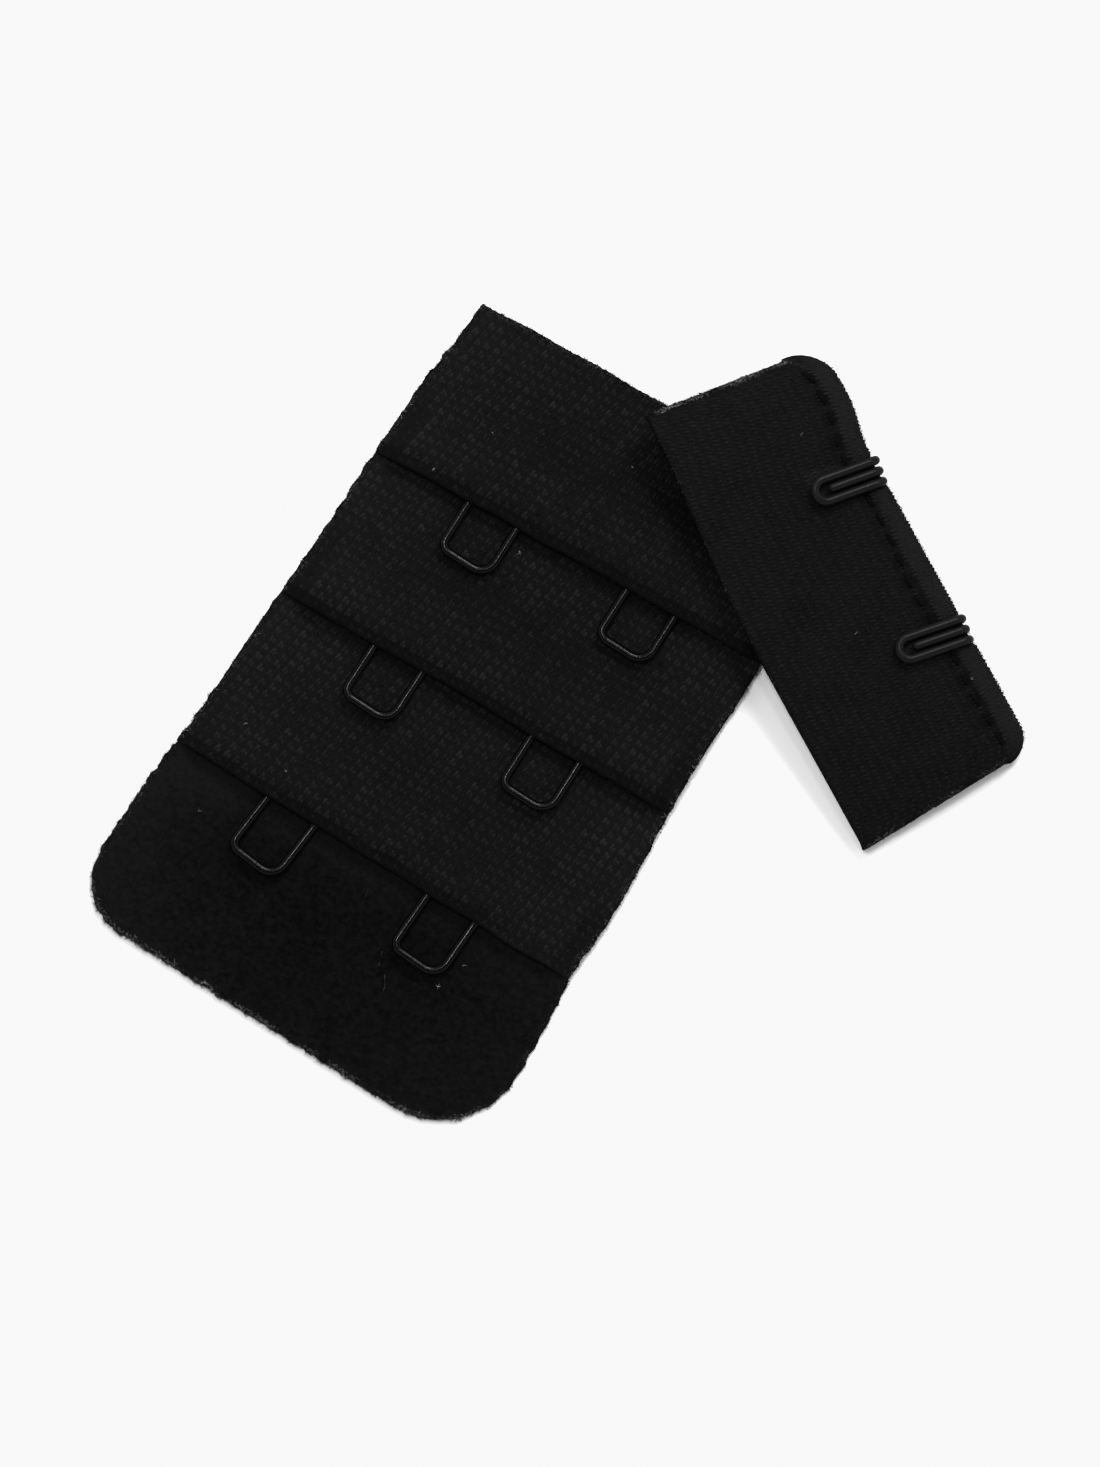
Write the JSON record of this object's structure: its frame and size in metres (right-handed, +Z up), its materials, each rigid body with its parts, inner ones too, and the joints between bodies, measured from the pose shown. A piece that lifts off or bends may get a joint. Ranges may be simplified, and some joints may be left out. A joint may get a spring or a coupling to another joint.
{
  "type": "hook and eye clasp",
  "caption": "Unfastened hook and eye closure for a back band: a plush-backed eye tape with folded flaps and wire eyes, and a folded hook tape with wire hooks.",
  "frame": {"origin": "middle of the eye tape's flat underside, halfway along its length and its width", "axes": "+Y up the eye tape towards its top edge, +X along its creases to the side where the hook tape lies, +Z up from the table"},
  "size_m": [0.0661, 0.0753, 0.0062],
  "materials": {
    "plush": "brushed black plush",
    "flap_knit": "black knit with small loops",
    "strip_knit": "fine black satin knit",
    "coated_wire": "satin black nylon coat on steel wire"
  },
  "bodies": {
    "root": {"eye_backing": "plush", "eye_flap_1": "flap_knit", "eye_flap_2": "flap_knit", "eye_flap_3": "flap_knit", "eye_1_left": "coated_wire", "eye_1_right": "coated_wire", "eye_2_left": "coated_wire", "eye_2_right": "coated_wire", "eye_3_left": "coated_wire", "eye_3_right": "coated_wire", "hook_tape": "strip_knit", "hook_upper": "coated_wire", "hook_upper_tongue": "coated_wire", "hook_lower": "coated_wire", "hook_lower_tongue": "coated_wire"}
  },
  "joints": []
}
